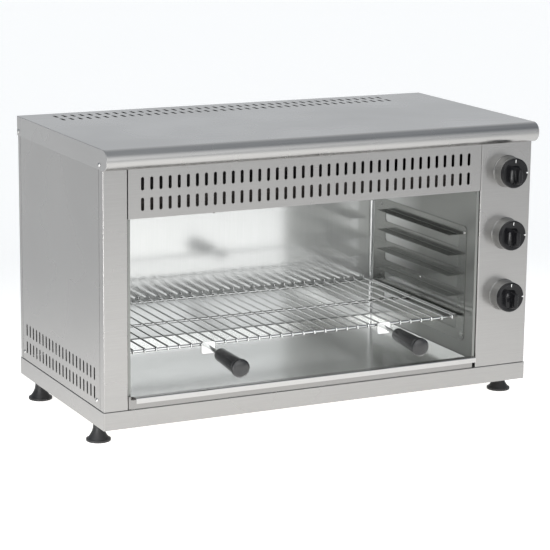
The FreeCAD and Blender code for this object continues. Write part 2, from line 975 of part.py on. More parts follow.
def handle_bracket(side):
    """Small plate across the turned-down wire ends with the handle's rod welded to it."""
    x = handle_x(side)
    root = handle_root(x)
    plate_back = root.y + bracket_sheet + weld
    top = wire_level + wire_radius
    left = x - bracket_width / 2
    right = x + bracket_width / 2
    plate = rounded_box(
        left, right, root.y, plate_back, top - bracket_height, top, bracket_corner, Vector(0, 1, 0)
    )
    heading = handle_heading()
    inside = root - heading * (bracket_sheet / 2)
    end = root + heading * (grip_start + grip_length - grip_wall)
    return plate.fuse(rod(rod_radius, inside, end))


def grip(side):
    """Tapered handle grip with a wider domed cap, bored for its rod."""
    heading = handle_heading()
    base = handle_root(handle_x(side)) + heading * grip_start
    bore = rod_radius + grip_bore_gap
    bore_end = grip_length - grip_wall + grip_bore_gap
    neck = grip_length - grip_cap
    waist = grip_front_radius - grip_groove
    face = grip_length - grip_dome
    profile = [
        (bore, 0),
        *round_corner(grip_back_radius, 0, grip_end_round, 1),
        (grip_front_radius, neck - 2 * grip_groove),
        (waist, neck - grip_groove),
        (waist, neck),
        (grip_cap_radius - grip_groove, neck),
        (grip_cap_radius, neck + grip_groove),
        *round_corner(grip_cap_radius, face, grip_cap_round, -1),
        dome(grip_cap_radius - grip_cap_round, grip_dome, face),
        (0, bore_end),
        (bore, bore_end),
    ]
    return turned(profile, base, heading)


# Heating elements and what holds them

def heating_element(number):
    """Hairpin tube whose two legs pass through the right-hand wall."""
    front_leg, back_leg = element_leg_places()[2 * number:2 * number + 2]
    left = liner_left + element_end_gap + element_leg_gap / 2
    right = liner_right + sheet + element_tail
    middle = (front_leg + back_leg) / 2
    start = Vector(right, front_leg, element_level)
    turn_in = Vector(left, front_leg, element_level)
    far = Vector(left - element_leg_gap / 2, middle, element_level)
    turn_out = Vector(left, back_leg, element_level)
    path = Part.Wire(
        [
            Part.LineSegment(start, turn_in).toShape(),
            Part.Arc(turn_in, far, turn_out).toShape(),
            Part.LineSegment(turn_out, Vector(right, back_leg, element_level)).toShape(),
        ]
    )
    circle = Part.Wire(Part.Circle(start, Vector(-1, 0, 0), element_radius).toShape())
    return path.makePipeShell([circle], True, False)


def element_bushes():
    """Collars on the legs, against the outside of the right-hand wall."""
    bushes = []
    for y in element_leg_places():
        seat = Vector(liner_right + sheet, y, element_level)
        end = seat + Vector(bush_length, 0, 0)
        over = Vector(cut_over, 0, 0)
        bore = rod(element_radius + element_bore_gap, seat - over, end + over)
        bushes.append(rod(bush_radius, seat, end).cut(bore))
    return Part.makeCompound(bushes)


def element_hangers():
    """Drilled strips under the ceiling that the elements pass through."""
    legs = element_leg_places()
    hangers = []
    for share in hanger_shares:
        x = liner_left + cavity_width * share
        strip = box(
            x, x + hanger_sheet, legs[0] - hanger_end, legs[-1] + hanger_end,
            ceiling_bottom - hanger_height, ceiling_bottom,
        )
        radius = element_radius + element_hole_gap
        hangers.append(strip.cut([hole(on_x, y, element_level, radius, x, 2 * hanger_sheet) for y in legs]))
    return Part.makeCompound(hangers)


# Controls

def bezel(z):
    """Round cup behind a knob, clamped to the panel by the switch's nut."""
    inner = bezel_radius - bezel_wall
    profile = [
        (switch_bush_radius + switch_hole_gap, 0),
        (bezel_radius, 0),
        *round_corner(bezel_top_radius, bezel_depth, bezel_round, -1),
        (inner, bezel_depth - sheet),
        (inner, sheet),
        (switch_bush_radius + switch_hole_gap, sheet),
    ]
    return turned(profile, Vector(knob_x, front_y, z), Vector(0, -1, 0))


def knob_bar(foot, ridge):
    """Bar to turn a knob by: hollow flanks under a narrow ridge, its two ends leaning inwards."""
    half_foot = bar_foot_width / 2
    half_ridge = bar_ridge_width / 2
    half_waist = half_ridge + (half_foot - half_ridge) * bar_waist_share
    waist = (foot + ridge) / 2
    left_foot, right_foot = Vector(-half_foot, -bar_below, foot), Vector(half_foot, -bar_below, foot)
    left_ridge, right_ridge = Vector(-half_ridge, -bar_below, ridge), Vector(half_ridge, -bar_below, ridge)
    section = [
        Part.LineSegment(left_foot, right_foot).toShape(),
        Part.Arc(right_foot, Vector(half_waist, -bar_below, waist), right_ridge).toShape(),
        Part.LineSegment(right_ridge, left_ridge).toShape(),
        Part.Arc(left_ridge, Vector(-half_waist, -bar_below, waist), left_foot).toShape(),
    ]
    bar = Part.Face(Part.Wire(section)).extrude(Vector(0, bar_below + bar_above, 0))
    side = Part.Face(Part.makePolygon([
        Vector(-half_foot, -bar_below, foot),
        Vector(-half_foot, bar_above, foot),
        Vector(-half_foot, bar_above - bar_slope, ridge),
        Vector(-half_foot, bar_slope - bar_below, ridge),
        Vector(-half_foot, -bar_below, foot),
    ]))
    bar = bar.common(side.extrude(Vector(bar_foot_width, 0, 0)))
    return bar.makeFillet(bar_round, [e for e in bar.Edges if e.BoundBox.ZMin > waist])


def knob(z):
    """Round knob with a domed face and a bar to turn it by."""
    start = bezel_depth + knob_gap
    face = start + knob_depth
    hub_start = sheet + switch_nut_height + knob_hub_gap
    bore = shaft_radius + shaft_gap
    bore_end = shaft_length() + shaft_gap
    profile = [
        (bore, hub_start),
        (knob_hub_radius, hub_start),
        (knob_hub_radius, start),
        (knob_radius, start),
        (knob_radius, face - 2 * knob_dome),
        (knob_radius - knob_dome / 4, face - knob_dome, knob_face_radius, face - knob_dome / 2),
        dome(knob_face_radius, knob_dome / 2, face - knob_dome / 2),
        (0, bore_end),
        (bore, bore_end),
    ]
    body = turned(profile, Vector(0, 0, 0), Vector(0, 0, 1))
    body = body.fuse(knob_bar(face - 2 * knob_dome, face + bar_height))
    body.Placement = FreeCAD.Placement(
        Vector(knob_x, front_y, z), Rotation(Vector(1, 0, 0), Vector(0, 0, 1), Vector(0, -1, 0), "ZXY")
    )
    return body


def shaft_length():
    """How far a switch shaft stands out from the panel's face."""
    return sheet + switch_nut_height + knob_hub_gap + shaft_into_knob


def switch_shaft(z):
    """Round shaft from inside the switch to inside the knob."""
    inside = Vector(knob_x, front_y + sheet + shaft_into_switch, z)
    return rod(shaft_radius, inside, Vector(knob_x, front_y - shaft_length(), z))


def switch(z):
    """Rotary switch behind the panel, its threaded neck reaching through the panel and bezel."""
    back_of_panel = front_y + sheet
    size = switch_size / 2
    body = rounded_box(
        knob_x - size, knob_x + size, back_of_panel, back_of_panel + switch_depth, z - size, z + size,
        switch_round, Vector(0, 1, 0),
    )
    neck = rod(
        switch_bush_radius, Vector(knob_x, back_of_panel + sheet, z),
        Vector(knob_x, front_y - sheet - switch_nut_height, z),
    )
    bore = rod(
        shaft_radius + shaft_gap, Vector(knob_x, back_of_panel + shaft_into_switch + shaft_gap, z),
        Vector(knob_x, front_y - bezel_depth, z),
    )
    return body.fuse(neck).cut(bore)


def switch_nuts():
    """Flat nuts that clamp the bezels and the switches to the panel."""
    nuts = []
    for z in knob_levels.values():
        seat = Vector(knob_x, front_y - sheet, z)
        bore = switch_bush_radius + thread_gap
        nuts.append(hex_nut(switch_nut_size, switch_nut_height, bore, seat, Vector(0, -1, 0)))
    return Part.makeCompound(nuts)


# Feet

def foot_places():
    """Plan position of each foot."""
    return {
        "front_left": (-foot_x, foot_front_y),
        "front_right": (foot_x, foot_front_y),
        "back_left": (-foot_x, foot_back_y),
        "back_right": (foot_x, foot_back_y),
    }


def foot_pad(x, y):
    """Moulded foot: a flat disc under a hollow-sided cone that narrows to a short neck."""
    neck_bottom = foot_height - foot_neck_height
    bore = stud_radius + thread_gap
    bore_end = foot_height - stud_depth - thread_gap
    profile = [
        (0, 0),
        *round_corner(foot_radius, 0, foot_disc_round, 1),
        *round_corner(foot_radius, foot_disc, foot_disc_round, -1),
        (foot_waist, (foot_disc + neck_bottom) / 2 - foot_disc_round, foot_neck, neck_bottom),
        (foot_neck, foot_height),
        (bore, foot_height),
        (bore, bore_end),
        (0, bore_end),
    ]
    return turned(profile, Vector(x, y, 0), Vector(0, 0, 1))


def foot_stud(x, y):
    """Stud from inside the foot up through the base and its nut."""
    return rod(stud_radius, Vector(x, y, foot_height - stud_depth), Vector(x, y, foot_height + stud_rise))


def foot_nuts():
    """Nuts on the base's floor that the studs screw through."""
    nuts = []
    for x, y in foot_places().values():
        seat = Vector(x, y, base_bottom + sheet)
        nuts.append(hex_nut(foot_nut_size, foot_nut_height, stud_radius + thread_gap, seat, Vector(0, 0, 1)))
    return Part.makeCompound(nuts)


# Screws

def cover_screws():
    """Screws through the cover's sides and back."""
    screws = []
    for outward in (-1, 1):
        for y in cover_screw_places:
            seat = Vector(outward * (half + sheet), y, cover_screw_z)
            screws.append(screw(seat, Vector(outward, 0, 0)))
    for x in back_screw_places:
        screws.append(screw(Vector(x, back_y + sheet, cover_screw_z), Vector(0, 1, 0)))
    return Part.makeCompound(screws)


def side_screws():
    """Screws low in both side panels."""
    screws = []
    for outward in (-1, 1):
        for y in side_screw_places:
            screws.append(screw(Vector(outward * half, y, side_screw_z), Vector(outward, 0, 0)))
    return Part.makeCompound(screws)


def back_screws():
    """Screws low in the back panel."""
    return Part.makeCompound(
        [screw(Vector(x, back_y, side_screw_z), Vector(0, 1, 0)) for x in back_screw_places]
    )


# Mains inlet

def gland_body():
    """Threaded sleeve through the back panel with a round collar outside it."""
    profile = [
        (gland_bore, -sheet - gland_tail),
        (gland_body_radius, -sheet - gland_tail),
        (gland_body_radius, 0),
        (gland_collar_radius, 0),
        (gland_collar_radius, gland_collar),
        (gland_body_radius, gland_collar),
        (gland_body_radius, gland_collar + gland_nose),
        (gland_bore, gland_collar + gland_nose),
    ]
    return turned(profile, Vector(gland_x, back_y, gland_z), Vector(0, 1, 0))


def gland_dome_nut():
    """Domed nut over the sleeve's outer end, bored for the cable."""
    inner = gland_body_radius + thread_gap
    start = gland_collar
    pocket = gland_collar + gland_nose + thread_gap
    reach = gland_reach + sheet
    profile = [
        (inner, start),
        (gland_dome_radius, start),
        (gland_dome_radius, pocket - gland_collar / 2),
        (gland_dome_radius - gland_collar / 4, pocket + gland_collar / 4, gland_bore + sheet, reach),
        (gland_bore, reach),
        (gland_bore, pocket),
        (inner, pocket),
    ]
    return turned(profile, Vector(gland_x, back_y, gland_z), Vector(0, 1, 0))


def gland_lock_nut():
    """Thin nut that clamps the sleeve from inside."""
    seat = Vector(gland_x, back_y - sheet, gland_z)
    return hex_nut(gland_nut_size, gland_nut_height, gland_body_radius + thread_gap, seat, Vector(0, -1, 0))


def terminal_block():
    """Moulded block on the base's floor with a row of clamp holes."""
    x = half - terminal_inset
    y = front_y + terminal_setback
    bottom = base_bottom + sheet
    top = bottom + terminal_height
    block = box(x, x + terminal_width, y, y + terminal_length, bottom, top)
    block = block.makeFillet(terminal_round, [e for e in block.Edges if e.BoundBox.ZMin > bottom + seam])
    step = terminal_length / terminal_ways
    middle = x + terminal_width / 2
    holes = [
        rod(terminal_hole, Vector(middle, y + step * (i + 1 / 2), top - terminal_hole_depth),
            Vector(middle, y + step * (i + 1 / 2), top + cut_over))
        for i in range(terminal_ways)
    ]
    return block.cut(holes)


def pieces():
    """Every node of the part with its shape."""
    nodes = {
        "base_tray": base_tray(),
        "front_post": front_post(),
        "control_panel": control_panel(),
        "front_header": front_header(),
        "left_side_panel": side_panel(-1),
        "right_side_panel": side_panel(1),
        "back_panel": back_panel(),
        "top_cover": top_cover(),
        "cavity_liner": cavity_liner(),
        "cavity_floor": cavity_floor(),
        "cavity_ceiling": cavity_ceiling(),
        "heat_shield": heat_shield(),
        "left_runner": left_runner(),
        "right_runner": mirrored(left_runner()),
        "runner_rivets": runner_rivets(),
        "crumb_tray": crumb_tray(),
        "rack_frame": rack_frame(),
        "rack_wires": rack_wires(),
        "left_handle_bracket": handle_bracket(-1),
        "right_handle_bracket": handle_bracket(1),
        "left_grip": grip(-1),
        "right_grip": grip(1),
        "element_bushes": element_bushes(),
        "element_hangers": element_hangers(),
        "switch_nuts": switch_nuts(),
        "foot_nuts": foot_nuts(),
        "cover_screws": cover_screws(),
        "side_screws": side_screws(),
        "back_screws": back_screws(),
        "gland_body": gland_body(),
        "gland_dome_nut": gland_dome_nut(),
        "gland_lock_nut": gland_lock_nut(),
        "terminal_block": terminal_block(),
    }
    for number, place in enumerate(("front", "middle", "rear")):
        nodes["heating_element_" + place] = heating_element(number)
    for place, z in knob_levels.items():
        nodes["bezel_" + place] = bezel(z)
        nodes["knob_" + place] = knob(z)
        nodes["switch_" + place] = switch(z)
        nodes["switch_shaft_" + place] = switch_shaft(z)
    for place, (x, y) in foot_places().items():
        nodes["foot_pad_" + place] = foot_pad(x, y)
        nodes["foot_stud_" + place] = foot_stud(x, y)
    return nodes


os.makedirs("parts", exist_ok=True)
for name, shape in pieces().items():
    shape.exportStep("parts/" + name + ".step")
    print(name, shape.isValid(), len(shape.Solids), round(shape.Volume / 1000, 2), "cm3")
print("front face at Y", round(front_y, 3), "back face at Y", round(back_y, 3))
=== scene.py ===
import json
from math import cos, pi, radians, sin

import bmesh
import bpy
import numpy as np
from mathutils import Matrix, Vector


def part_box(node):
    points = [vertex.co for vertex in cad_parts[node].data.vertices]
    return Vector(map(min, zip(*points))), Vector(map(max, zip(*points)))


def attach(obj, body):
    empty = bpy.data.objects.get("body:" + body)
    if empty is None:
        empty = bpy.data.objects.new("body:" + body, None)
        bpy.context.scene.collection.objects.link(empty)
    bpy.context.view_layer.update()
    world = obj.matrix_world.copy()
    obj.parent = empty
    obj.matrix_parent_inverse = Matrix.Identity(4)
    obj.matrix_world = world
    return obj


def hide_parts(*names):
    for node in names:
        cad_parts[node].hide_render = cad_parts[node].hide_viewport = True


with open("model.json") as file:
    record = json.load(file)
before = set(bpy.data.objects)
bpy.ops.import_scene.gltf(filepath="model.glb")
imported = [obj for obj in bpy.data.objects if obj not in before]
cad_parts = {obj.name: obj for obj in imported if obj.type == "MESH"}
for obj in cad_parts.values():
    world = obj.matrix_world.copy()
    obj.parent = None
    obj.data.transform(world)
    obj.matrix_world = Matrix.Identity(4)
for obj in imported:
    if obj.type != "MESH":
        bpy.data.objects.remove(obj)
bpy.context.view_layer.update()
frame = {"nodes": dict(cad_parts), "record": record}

# A stainless cheese melter in a pale studio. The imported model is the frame. The knobs, grips, feet,
# rack and heating elements are finer surfaces worked out here, and every sheet gets its finish.
mm = 0.001
axes = 3
half = 0.5
full = 1.0

# Camera, as in the photograph: lens in millimetres, place in metres, turns in degrees
camera_lens = 140.08
camera_left = 1.6354
camera_ahead = 3.0917
camera_height = 1.0367
camera_yaw = 26.485
camera_pitch = 12.601
camera_roll = 0.644
camera_near = 0.1
camera_far = 200.0

# Floor, in metres. The floor glows, and the pool of light painted on it is measured from the front left
# corner of the casing.
floor_reach = 60.0
floor_tone = (0.82, 0.82, 0.82, 1)
floor_roughness = 0.9
glow_far = 0.28
glow_near = 1.18
pool_right = 0.25
pool_ahead = 0.65
pool_radius = 2.2
pool_tone = (1.0, 0.985, 0.95, 1)

# Light. A round soft light has the way to it, its core and edge in degrees off that way, its tone and
# its strength. The side light is a strip, in metres, with its turn in degrees and its power in watts.
room_tone = (0.82, 0.90, 1.0, 1)
room_strength = 0.34
front_light = (-0.22, -0.95, 0.20)
front_core = 18.0
front_edge = 56.0
front_tone = (1.0, 0.995, 0.98, 1)
front_strength = 1.8
back_light = (0.435, 0.874, 0.30)
back_core = 20.0
back_edge = 50.0
back_tone = (1.0, 0.99, 0.97, 1)
back_strength = 0.52
top_light = (0.0, 0.0, 1.0)
top_core = 15.0
top_edge = 50.0
top_tone = (1.0, 1.0, 1.0, 1)
top_strength = 0.3
side_light_width = 0.14
side_light_height = 0.6
side_light_place = (-1.05, -0.52, 0.22)
side_light_turn = -64.5
side_light_power = 3.2
sun_strength = 0.6
sun_spread = 60.0
sun_tilt = 35.0
sun_turn = -30.0

# Knobs. Heights are measured outwards from the panel's face and marks from the knob's middle, and
# bowl, flare and square are powers.
knob_gap = 0.6 * mm
knob_thick = 7.0 * mm
knob_hub = 9.0 * mm
knob_bevel = 1.5 * mm
knob_dish = 1.0 * mm
knob_bowl = 3
knob_soft = 0.6 * mm
bar_foot_width = 22.0 * mm
bar_ridge_width = 8.0 * mm
bar_above = 13.5 * mm
bar_below = 20.5 * mm
bar_slope = 4.5 * mm
bar_soft = 1.4 * mm
bar_flare = 2.2
bar_square = 3.4
bar_sunk = 0.6 * mm
pointer_start = 18.6 * mm
pointer_end = 24.0 * mm
pointer_width = 1.4 * mm
notch_start = 21.4 * mm
notch_end = 25.2 * mm
notch_width = 4.2 * mm
mark_thick = 0.35 * mm

# Bezels
bezel_bore = 5.3 * mm
bezel_wall = 2.2 * mm
bezel_floor = 1.0 * mm
bezel_band = 1.6 * mm
bezel_step = 0.7 * mm
bezel_taper = 0.9 * mm
bezel_soft = 0.5 * mm

# Handle grips, measured forward along the rod, which droops by some degrees
plate_thick = 2.3 * mm
grip_start = 46.0 * mm
grip_length = 88.0 * mm
grip_droop = 3.2
grip_back = 11.3 * mm
grip_front = 13.8 * mm
grip_cap = 13.0 * mm
grip_cap_radius = 15.5 * mm
grip_groove = 1.7 * mm
grip_bevel = 3.0 * mm
grip_dome = 3.6 * mm
grip_soft = 1.0 * mm
grip_end_soft = 4.5 * mm

# Feet. Hollow is a power.
foot_rim = 4.0 * mm
foot_ledge = 2.6 * mm
foot_step = 1.0 * mm
foot_soft = 0.8 * mm
foot_neck = 8.8 * mm
foot_collar = 6.0 * mm
foot_hollow = 2.1

# Rack and heating elements
rail_bend = 9.0 * mm
rail_play = 0.06 * mm
cross_rail_share = 0.51
wire_radius = 1.5 * mm
wire_bend = 3.0 * mm
wire_count = 30
element_radius = 4.25 * mm
tip_share = 0.3

# How finely the surfaces are divided, how many rings a tube's ends add to its path, how many round
# corners a knob's rim has in front, and from what turn in degrees an edge is sharp
bend_steps = 7
curve_steps = 14
end_rings = 4
rim_arcs = 2
around_wide = 72
around_rod = 20
around_wire = 12
merge_reach = 0.002 * mm
sharp_turn = 38.0

# Finishes: patterns. A noise runs its full course from low to high. Grains, clouds, specks and smears
# are counted to the metre.
noise_low = 0.3
noise_high = 0.7
grain_fine = 1400.0
grain_long = 14.0
cloud_scale = 5.0
cloud_detail = 2.0
grain_detail = 3.0
speck_scale = 2600.0
speck_detail = 2.0
smear_scale = 40.0

# Finishes: casing steel
casing_dark = (0.32, 0.314, 0.308, 1)
casing_light = (0.345, 0.339, 0.333, 1)
# The lid's tones are painted lighter than the other sheets', as light falling on its top from above.
cover_lit_dark = (0.355, 0.35, 0.345, 1)
cover_lit_light = (0.385, 0.38, 0.375, 1)
casing_roughness = (0.24, 0.31)
casing_grain = 0.03 * mm
casing_wave = 0.12 * mm

# Finishes: cavity, runners and tray. Depth and fade say where a part painted darker as shade begins.
cavity_dark = (0.66, 0.67, 0.665, 1)
cavity_light = (0.70, 0.71, 0.705, 1)
cavity_roughness = (0.10, 0.13)
cavity_mirror = 0.62
cavity_grain = 0.008 * mm
cavity_wave = 0.2 * mm
wall_depth = 2.5 * mm
wall_fade = 0.5 * mm
# Painted shade on the side walls near the opening
wall_shade_tone = (0.20, 0.205, 0.195, 1)
runner_dark = (0.20, 0.205, 0.195, 1)
runner_light = (0.25, 0.255, 0.245, 1)
runner_roughness = (0.18, 0.26)
runner_wave = 0.08 * mm
tray_dark = (0.80, 0.805, 0.795, 1)
tray_light = (0.88, 0.885, 0.875, 1)
tray_roughness = (0.13, 0.19)
lip_depth = 3.0 * mm
lip_fade = 1.0 * mm
# Painted shade on the tray's recessed front under the lip
tray_front_shade = (0.26, 0.255, 0.25, 1)
lip_tone = (0.43, 0.425, 0.42, 1)

# Finishes: chrome, fasteners, elements and bezels
chrome_dark = (0.58, 0.585, 0.58, 1)
chrome_light = (0.72, 0.725, 0.72, 1)
chrome_roughness = (0.10, 0.20)
fastener_dark = (0.50, 0.50, 0.49, 1)
fastener_light = (0.64, 0.63, 0.62, 1)
fastener_roughness = (0.2, 0.34)
element_dark = (0.07, 0.065, 0.06, 1)
element_light = (0.16, 0.14, 0.13, 1)
element_roughness = (0.35, 0.6)
bezel_dark = (0.25, 0.25, 0.245, 1)
bezel_light = (0.31, 0.31, 0.305, 1)
bezel_roughness = (0.22, 0.30)

# Finishes: plastics, print and ceramic
knob_dark = (0.005, 0.005, 0.006, 1)
knob_light = (0.009, 0.009, 0.010, 1)
knob_roughness = (0.10, 0.18)
knob_relief = 0.008 * mm
knob_gloss = 0.26
mark_dark = (0.70, 0.70, 0.69, 1)
mark_light = (0.84, 0.84, 0.83, 1)
grip_dark = (0.016, 0.016, 0.017, 1)
grip_light = (0.026, 0.026, 0.027, 1)
grip_roughness = (0.13, 0.20)
grip_relief = 0.02 * mm
grip_gloss = 0.55
foot_dark = (0.010, 0.010, 0.011, 1)
foot_light = (0.024, 0.024, 0.025, 1)
foot_roughness = (0.4, 0.6)
foot_relief = 0.03 * mm
switch_dark = (0.03, 0.03, 0.032, 1)
switch_light = (0.05, 0.05, 0.052, 1)
ceramic_dark = (0.70, 0.68, 0.62, 1)
ceramic_light = (0.80, 0.78, 0.72, 1)
ceramic_roughness = (0.3, 0.45)

# Directions
rightward = np.array((full, 0, 0))
forward = np.array((0, -full, 0))
upward = np.array((0, 0, full))


# Building blocks of a finish

def new_material(name):
    """Material with its tree and its shader."""
    material = bpy.data.materials.new(name)
    material.use_nodes = True
    return material, material.node_tree, material.node_tree.nodes["Principled BSDF"]


def pattern(tree, stretch, detail):
    """Noise in object coordinates, with so many grains to the metre along X, Y and Z."""
    place = tree.nodes.new("ShaderNodeTexCoord")
    scale = tree.nodes.new("ShaderNodeMapping")
    noise = tree.nodes.new("ShaderNodeTexNoise")
    scale.inputs["Scale"].default_value = stretch
    noise.inputs["Scale"].default_value = full
    noise.inputs["Detail"].default_value = detail
    tree.links.new(place.outputs["Object"], scale.inputs["Vector"])
    tree.links.new(scale.outputs["Vector"], noise.inputs["Vector"])
    return noise.outputs["Fac"]


def varied(tree, factor, bounds, socket):
    """Lets a pattern carry a number between two bounds."""
    spread = tree.nodes.new("ShaderNodeMapRange")
    spread.inputs["From Min"].default_value = noise_low
    spread.inputs["From Max"].default_value = noise_high
    spread.inputs["To Min"].default_value = bounds[0]
    spread.inputs["To Max"].default_value = bounds[-1]
    tree.links.new(factor, spread.inputs["Value"])
    tree.links.new(spread.outputs["Result"], socket)


def tinted(tree, factor, dark, light, socket):
    """Lets a pattern carry a colour between two tones."""
    ramp = tree.nodes.new("ShaderNodeValToRGB")
    first, last = ramp.color_ramp.elements
    first.position = noise_low
    first.color = dark
    last.position = noise_high
    last.color = light
    tree.links.new(factor, ramp.inputs["Fac"])
    tree.links.new(ramp.outputs["Color"], socket)


def relief(tree, height, depth, under=None):
    """Bump of the given depth, on top of another bump if there is one."""
    bump = tree.nodes.new("ShaderNodeBump")
    bump.inputs["Distance"].default_value = depth
    tree.links.new(height, bump.inputs["Height"])
    if under:
        tree.links.new(under, bump.inputs["Normal"])
    return bump.outputs["Normal"]


def ramped(tree, value, start, end):
    """Number that runs from nought to one while a value runs from start to end."""
    spread = tree.nodes.new("ShaderNodeMapRange")
    spread.inputs["From Min"].default_value = start
    spread.inputs["From Max"].default_value = end
    tree.links.new(value, spread.inputs["Value"])
    return spread.outputs["Result"]


def retoned(tree, shader, where, tone):
    """Gives part of a piece another tone, where the number is one."""
    mix = tree.nodes.new("ShaderNodeMix")
    mix.data_type = "RGBA"
    colour = shader.inputs["Base Color"]
    before = colour.links[0].from_socket
    first, last = [socket for socket in mix.inputs if socket.type == "RGBA"]
    tree.links.new(where, mix.inputs["Factor"])
    tree.links.new(before, first)
    last.default_value = tone
    tree.links.new([socket for socket in mix.outputs if socket.type == "RGBA"][0], colour)


def object_place(tree):
    """X, Y and Z of the object coordinates."""
    place = tree.nodes.new("ShaderNodeTexCoord")
    split = tree.nodes.new("ShaderNodeSeparateXYZ")
    tree.links.new(place.outputs["Object"], split.inputs["Vector"])
    return split.outputs


def worked_out(tree, operation, *values):
    """Outcome of one sum, on values that are sockets or plain numbers."""
    node = tree.nodes.new("ShaderNodeMath")
    node.operation = operation
    for socket, value in zip(node.inputs, values):
        if isinstance(value, bpy.types.NodeSocket):
            tree.links.new(value, socket)
        else:
            socket.default_value = value
    return node.outputs["Value"]


def steel(name, tones, roughness, grain_depth, wave_depth, brushed_along, mirror=full):
    """Sheet metal: fine brushing along one axis, over soft clouds of tone, gloss and flatness. Mirror is
    the share of it that mirrors as clean metal does, and the rest scatters the light."""
    material, tree, shader = new_material(name)
    shader.inputs["Metallic"].default_value = mirror
    stretch = [grain_fine] * axes
    stretch[brushed_along] = grain_long
    grain = pattern(tree, stretch, grain_detail)
    clouds = pattern(tree, [cloud_scale] * axes, cloud_detail)
    tinted(tree, grain, *tones, shader.inputs["Base Color"])
    varied(tree, clouds, roughness, shader.inputs["Roughness"])
    wave = relief(tree, clouds, wave_depth)
    tree.links.new(relief(tree, grain, grain_depth, wave), shader.inputs["Normal"])
    return material


def moulded(name, tones, roughness, depth, gloss=half):
    """Moulded plastic or ceramic: fine specks in the relief and soft smears of gloss."""
    material, tree, shader = new_material(name)
    shader.inputs["Specular IOR Level"].default_value = gloss
    specks = pattern(tree, [speck_scale] * axes, speck_detail)
    smears = pattern(tree, [smear_scale] * axes, cloud_detail)
    tinted(tree, smears, *tones, shader.inputs["Base Color"])
    varied(tree, smears, roughness, shader.inputs["Roughness"])
    tree.links.new(relief(tree, specks, depth), shader.inputs["Normal"])
    return material


# The finishes, one for each slot of the record

along_x, along_y, along_z = range(axes)


def casing_steel():
    """Satin stainless of the outer sheets."""
    tones = (casing_dark, casing_light)
    return steel("casing_steel", tones, casing_roughness, casing_grain, casing_wave, along_x)


def cover_steel_painted_light():
    """Stainless of the lid with painted light: a little brighter than the sheets below it, as if its top
    were lit from above.
    """
    tones = (cover_lit_dark, cover_lit_light)
    return steel("cover_steel_painted_light", tones, casing_roughness, casing_grain, casing_wave, along_x)


def cavity_steel():
    """Bright, hazy stainless of the cooking space, whose side walls are painted darker towards the opening
    as shade.
    """
    tones = (cavity_dark, cavity_light)
    material = steel("cavity_steel", tones, cavity_roughness, cavity_grain, cavity_wave, along_z,
                     cavity_mirror)
    tree = material.node_tree
    low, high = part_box("cavity_floor")
    middle = (low + high) / 2
    reach = (high.x - low.x) / 2 - wall_depth
    place = object_place(tree)
    aside = worked_out(tree, "ABSOLUTE", worked_out(tree, "SUBTRACT", place["X"], middle.x))
    on_wall = ramped(tree, aside, reach - wall_fade, reach)
    near_opening = ramped(tree, place["Y"], high.y, middle.y)
    where = worked_out(tree, "MULTIPLY", on_wall, near_opening)
    # Painted shade: the side walls darken more and more towards the opening.
    retoned(tree, tree.nodes["Principled BSDF"], where, wall_shade_tone)
    return material


def runner_steel():
    """Stainless of the punched runners, a little darker than the walls."""
    tones = (runner_dark, runner_light)
    return steel("runner_steel", tones, runner_roughness, cavity_grain, runner_wave, along_y)


def tray_steel():
    """Bright stainless of the crumb tray, with its front painted darker as shade under the lip, and a satin
    lip before it.
    """
    tones = (tray_dark, tray_light)
    material = steel("tray_steel", tones, tray_roughness, cavity_grain, casing_wave, along_x)
    tree = material.node_tree
    along = object_place(tree)["Y"]
    shader = tree.nodes["Principled BSDF"]
    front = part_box("front_post")[0].y
    # Painted shade on the tray's front under the lip, then the lip's own satin tone before it.
    for edge, tone in ((front + lip_depth, tray_front_shade), (front, lip_tone)):
        retoned(tree, shader, ramped(tree, along, edge, edge - lip_fade), tone)
    return material


def rack_chrome():
    """Bright plated wire."""
    tones = (chrome_dark, chrome_light)
    return steel("rack_chrome", tones, chrome_roughness, cavity_grain, cavity_grain, along_y)


def fastener_steel():
    """Turned steel of screws, nuts, studs and rivets."""
    tones = (fastener_dark, fastener_light)
    return steel("fastener_steel", tones, fastener_roughness, cavity_grain, cavity_grain, along_z)


def element_steel():
    """Heat-darkened sheath of the elements."""
    tones = (element_dark, element_light)
    return steel("element_steel", tones, element_roughness, casing_grain, cavity_grain, along_x)


def bezel_metal():
    """Grey satin metal of the cups behind the knobs."""
    tones = (bezel_dark, bezel_light)
    return steel("bezel_metal", tones, bezel_roughness, cavity_grain, cavity_grain, along_y)


finishes = {
    "casing_steel": casing_steel(),
    "cavity_steel": cavity_steel(),
    "runner_steel": runner_steel(),
    "tray_steel": tray_steel(),
    "rack_chrome": rack_chrome(),
    "fastener_steel": fastener_steel(),
    "element_steel": element_steel(),
    "bezel_metal": bezel_metal(),
    "knob_plastic": moulded(
        "knob_plastic", (knob_dark, knob_light), knob_roughness, knob_relief, knob_gloss
    ),
    "grip_plastic": moulded(
        "grip_plastic", (grip_dark, grip_light), grip_roughness, grip_relief, grip_gloss
    ),
    "foot_plastic": moulded("foot_plastic", (foot_dark, foot_light), foot_roughness, foot_relief),
    "switch_plastic": moulded("switch_plastic", (switch_dark, switch_light), grip_roughness, grip_relief),
    "gland_plastic": moulded("gland_plastic", (switch_dark, switch_light), grip_roughness, grip_relief),
    "terminal_ceramic": moulded(
        "terminal_ceramic", (ceramic_dark, ceramic_light), ceramic_roughness, grip_relief
    ),
}
mark_print = moulded("mark_print", (mark_dark, mark_light), grip_roughness, knob_relief)


def dress_nodes():
    """Gives every node of the frame the finish of its slot, and the lid its own with painted light,
    brighter as if lit from above.
    """
    lid = cover_steel_painted_light()
    for entry in frame["record"]["subparts"]:
        node = entry["node"]
        materials = frame["nodes"][node].data.materials
        materials.clear()
        materials.append(lid if node == "top_cover" else finishes[entry["material_slot"]])


# Surfaces. A shape is a stack of rings: an array of points by ring, by place round the ring and by axis.

def unit(vectors):
    """Vectors divided by their lengths."""
    return vectors / np.linalg.norm(vectors, axis=-1, keepdims=True)


